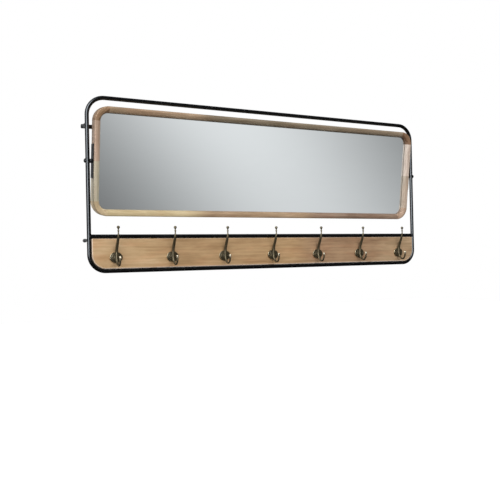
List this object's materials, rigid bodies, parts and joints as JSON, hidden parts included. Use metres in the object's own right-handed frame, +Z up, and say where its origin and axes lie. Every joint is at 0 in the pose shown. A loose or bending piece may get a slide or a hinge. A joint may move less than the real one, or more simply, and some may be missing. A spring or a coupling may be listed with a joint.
{
  "type": "wall mirror with coat hooks",
  "caption": "Wall rack of bent metal tube with a tilting wood-framed mirror above a wooden board of two-pronged coat hooks.",
  "frame": {"origin": "on the wall plane, midway between the holes of the two wall eyes", "axes": "+X to the right as the front is seen, +Y into the wall, +Z up; the front looks along -Y"},
  "size_m": [1.2096, 0.097, 0.504],
  "materials": {
    "satin_black": "satin black powder coat",
    "black_fittings": "satin black coat",
    "black_screws": "blackened steel",
    "plug_plastic": "moulded, matte",
    "foot_rubber": "matte rubber",
    "board_wood": "light brown oiled wood, straight grain",
    "aged_brass": "aged, olive brown with bright edges",
    "brass_screws": "aged",
    "rail_wood": "light brown oiled wood, straight grain",
    "dowel_wood": "plain beech",
    "silvered_glass": "clear silvered mirror",
    "backing_wood": "brown hardboard",
    "zinc_steel": "zinc plated"
  },
  "bodies": {
    "wall_frame": {"tube_frame": "satin_black", "cross_bar": "satin_black", "rear_bar": "satin_black", "rear_bar_plugs": "plug_plastic", "bar_standoffs": "satin_black", "wall_eyes": "satin_black", "foot_pegs": "satin_black", "rubber_feet": "foot_rubber", "hook_board": "board_wood", "board_tabs": "satin_black", "board_screws": "black_screws", "hook_1": "aged_brass", "hook_2": "aged_brass", "hook_3": "aged_brass", "hook_4": "aged_brass", "hook_5": "aged_brass", "hook_6": "aged_brass", "hook_7": "aged_brass", "hook_screws": "brass_screws"},
    "mirror_panel": {"top_rail": "rail_wood", "bottom_rail": "rail_wood", "left_stile": "rail_wood", "right_stile": "rail_wood", "corner_top_left": "rail_wood", "corner_top_right": "rail_wood", "corner_bottom_left": "rail_wood", "corner_bottom_right": "rail_wood", "frame_dowels": "dowel_wood", "mirror_glass": "silvered_glass", "backing_board": "backing_wood", "backing_screws": "zinc_steel", "left_pivot_plate": "black_fittings", "right_pivot_plate": "black_fittings", "plate_screws": "black_screws", "left_pivot_bolt": "black_fittings", "right_pivot_bolt": "black_fittings", "left_pivot_spacer": "black_fittings", "right_pivot_spacer": "black_fittings", "pivot_nuts": "zinc_steel"}
  },
  "joints": [
    {"name": "mirror_tilt", "type": "hinge", "parent": "wall_frame", "child": "mirror_panel", "pos_m": [0, -0.048, -0.121], "axis": [1, 0, 0], "range_deg": [-16, 2.5]}
  ]
}
